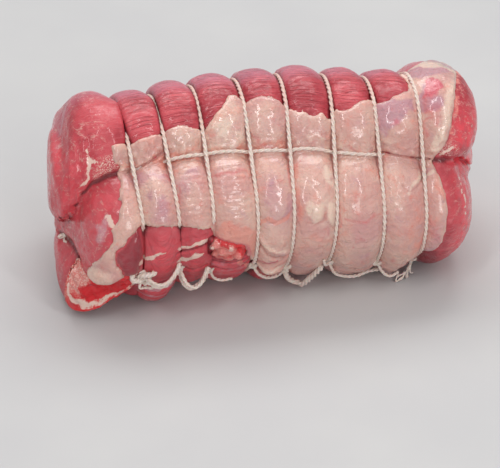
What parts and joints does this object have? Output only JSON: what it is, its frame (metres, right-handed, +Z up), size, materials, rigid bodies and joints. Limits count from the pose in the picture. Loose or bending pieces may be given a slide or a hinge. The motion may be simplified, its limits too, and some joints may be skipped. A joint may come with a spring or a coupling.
{
  "type": "roast beef joint",
  "caption": "Raw beef joint rolled from two long muscles, its front under a creamy fat cover, tied across with loops of white butcher's twine and once lengthwise.",
  "frame": {"origin": "on the table under the middle of the joint's bounding box", "axes": "+X along the roll, from the end with the loose flap to the plain end; +Z up; the fat cover faces -Y"},
  "size_m": [0.2508, 0.1321, 0.1169],
  "materials": {
    "beef": "moist red muscle with fine grain, pale sheen and thin white seams",
    "beef_fat": "smooth creamy pink fat, slightly moist",
    "twine": "off-white twisted cotton string"
  },
  "bodies": {
    "root": {"meat": "beef", "fat_cover": "beef_fat", "tie_1": "twine", "tie_2": "twine", "tie_3": "twine", "tie_4": "twine", "tie_5": "twine", "tie_6": "twine", "tie_7": "twine", "tie_8": "twine", "long_tie": "twine"}
  },
  "joints": []
}
